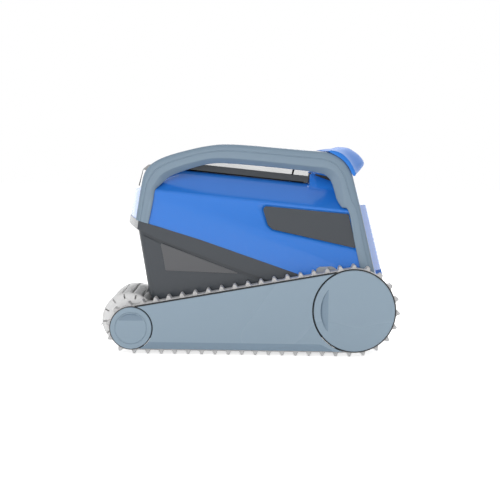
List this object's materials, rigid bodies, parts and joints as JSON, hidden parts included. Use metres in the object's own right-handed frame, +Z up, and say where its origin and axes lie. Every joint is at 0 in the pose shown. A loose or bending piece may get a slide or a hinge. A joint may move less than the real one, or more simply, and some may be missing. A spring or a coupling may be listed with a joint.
{
  "type": "robotic pool cleaner",
  "caption": "Tracked robotic pool cleaner: front brush rollers, top-opening filter chamber with smoked lid, twin arch frames, carry handle, geared rear wheels.",
  "frame": {"origin": "middle of the footprint on the floor that the track lugs stand on", "axes": "+X to the rear (the driving wheels), +Y to the right side of the machine, +Z up; the brushes are at -X"},
  "size_m": [0.4295, 0.4, 0.2998],
  "materials": {
    "dark_plastic": "fine moulded texture",
    "blue_plastic": "satin gloss moulding",
    "grey_blue_plastic": "satin moulding",
    "black_plastic": "satin moulding",
    "belt_rubber": "matt moulded rubber",
    "brush_rubber": "matt soft rubber",
    "seal_rubber": "matt",
    "flap_rubber": "matt",
    "stainless_steel": "turned",
    "motor_metal": "plain",
    "circuit_board": "lacquered",
    "filter_mesh": "fine woven mesh",
    "float_foam": "closed-cell foam",
    "smoked_window": "clear smoked",
    "impeller_plastic": "satin"
  },
  "bodies": {
    "body": {"lower_hull": "dark_plastic", "waist_band": "dark_plastic", "upper_shell": "blue_plastic", "side_inlay_left": "dark_plastic", "side_inlay_right": "dark_plastic", "arch_frame_left": "grey_blue_plastic", "arch_frame_right": "grey_blue_plastic", "carry_handle": "blue_plastic", "rear_panel": "blue_plastic", "bottom_plate": "dark_plastic", "side_cover_left": "grey_blue_plastic", "side_cover_right": "grey_blue_plastic", "track_frame_left": "dark_plastic", "track_frame_right": "dark_plastic", "track_belt_left": "belt_rubber", "track_belt_right": "belt_rubber", "brush_arm_left": "dark_plastic", "brush_arm_right": "dark_plastic", "centre_bracket": "dark_plastic", "wheel_axles": "stainless_steel", "pulley_axle_left": "stainless_steel", "pulley_axle_right": "stainless_steel", "motor_housing": "black_plastic", "motor_cap": "black_plastic", "motor_seal": "seal_rubber", "pump_motor": "motor_metal", "drive_motors": "motor_metal", "control_board": "circuit_board", "pump_duct": "dark_plastic", "outlet_grille": "dark_plastic", "filter_basket": "dark_plastic", "filter_panels": "filter_mesh", "float_blocks": "float_foam", "flap_pins": "stainless_steel", "lid_seal": "seal_rubber", "hinge_pin": "stainless_steel", "cable_gland": "black_plastic", "gland_nut": "black_plastic", "plate_screws": "stainless_steel"},
    "lid": {"lid_frame": "black_plastic", "lid_window": "smoked_window"},
    "latch": {"latch_lever": "black_plastic"},
    "left_wheel": {"wheel_left": "dark_plastic", "wheel_disc_left": "grey_blue_plastic", "wheel_bushes_left": "black_plastic"},
    "right_wheel": {"wheel_right": "dark_plastic", "wheel_disc_right": "grey_blue_plastic", "wheel_bushes_right": "black_plastic"},
    "left_pulley": {"pulley_left": "grey_blue_plastic"},
    "right_pulley": {"pulley_right": "grey_blue_plastic"},
    "left_brush": {"brush_core_left": "black_plastic", "brush_sleeve_left": "brush_rubber"},
    "right_brush": {"brush_core_right": "black_plastic", "brush_sleeve_right": "brush_rubber"},
    "left_pinion": {"drive_pinion_left": "stainless_steel"},
    "right_pinion": {"drive_pinion_right": "stainless_steel"},
    "rotor": {"impeller": "impeller_plastic", "impeller_nut": "stainless_steel"},
    "front_flap": {"intake_flap_front": "flap_rubber"},
    "rear_flap": {"intake_flap_rear": "flap_rubber"}
  },
  "joints": [
    {"name": "lid_hinge", "type": "hinge", "parent": "body", "child": "lid", "pos_m": [0.091, 0, 0.2525], "axis": [0, 1, 0], "range_deg": [0, 100]},
    {"name": "latch_pivot", "type": "hinge", "parent": "lid", "child": "latch", "pos_m": [-0.151, 0, 0.2625], "axis": [0, 1, 0], "range_deg": [0, 35], "stiffness_Nm_per_rad": 0.05, "springref_deg": -14.32},
    {"name": "left_wheel_spin", "type": "hinge", "parent": "body", "child": "left_wheel", "pos_m": [0.1495, 0, 0.0655], "axis": [0, 1, 0], "continuous": true},
    {"name": "left_pulley_spin", "type": "hinge", "parent": "body", "child": "left_pulley", "pos_m": [-0.1677, 0, 0.0367], "axis": [0, 1, 0], "continuous": true},
    {"name": "left_brush_spin", "type": "hinge", "parent": "body", "child": "left_brush", "pos_m": [-0.17349, 0, 0.04485], "axis": [0, 1, 0], "continuous": true},
    {"name": "left_pinion_spin", "type": "hinge", "parent": "body", "child": "left_pinion", "pos_m": [0.1135, 0, 0.0655], "axis": [0, 1, 0], "continuous": true},
    {"name": "right_wheel_spin", "type": "hinge", "parent": "body", "child": "right_wheel", "pos_m": [0.1495, 0, 0.0655], "axis": [0, 1, 0], "continuous": true},
    {"name": "right_pulley_spin", "type": "hinge", "parent": "body", "child": "right_pulley", "pos_m": [-0.1677, 0, 0.0367], "axis": [0, 1, 0], "continuous": true},
    {"name": "right_brush_spin", "type": "hinge", "parent": "body", "child": "right_brush", "pos_m": [-0.17349, 0, 0.04485], "axis": [0, 1, 0], "continuous": true},
    {"name": "right_pinion_spin", "type": "hinge", "parent": "body", "child": "right_pinion", "pos_m": [0.1135, 0, 0.0655], "axis": [0, 1, 0], "continuous": true},
    {"name": "impeller_spin", "type": "hinge", "parent": "body", "child": "rotor", "pos_m": [0.118, 0, 0.129], "axis": [0, 0, 1], "continuous": true},
    {"name": "front_flap_hinge", "type": "hinge", "parent": "body", "child": "front_flap", "pos_m": [-0.0515, 0, 0.047], "axis": [0, 1, 0], "range_deg": [0, 60]},
    {"name": "rear_flap_hinge", "type": "hinge", "parent": "body", "child": "rear_flap", "pos_m": [0.0325, 0, 0.047], "axis": [0, 1, 0], "range_deg": [0, 60]}
  ],
  "couplings": [
    {"joint": "left_pulley_spin", "follows": "left_wheel_spin", "ratio": 1.9697},
    {"joint": "left_brush_spin", "follows": "left_wheel_spin", "ratio": 3.9394},
    {"joint": "left_pinion_spin", "follows": "left_wheel_spin", "ratio": 5},
    {"joint": "right_pulley_spin", "follows": "right_wheel_spin", "ratio": 1.9697},
    {"joint": "right_brush_spin", "follows": "right_wheel_spin", "ratio": 3.9394},
    {"joint": "right_pinion_spin", "follows": "right_wheel_spin", "ratio": 5}
  ]
}
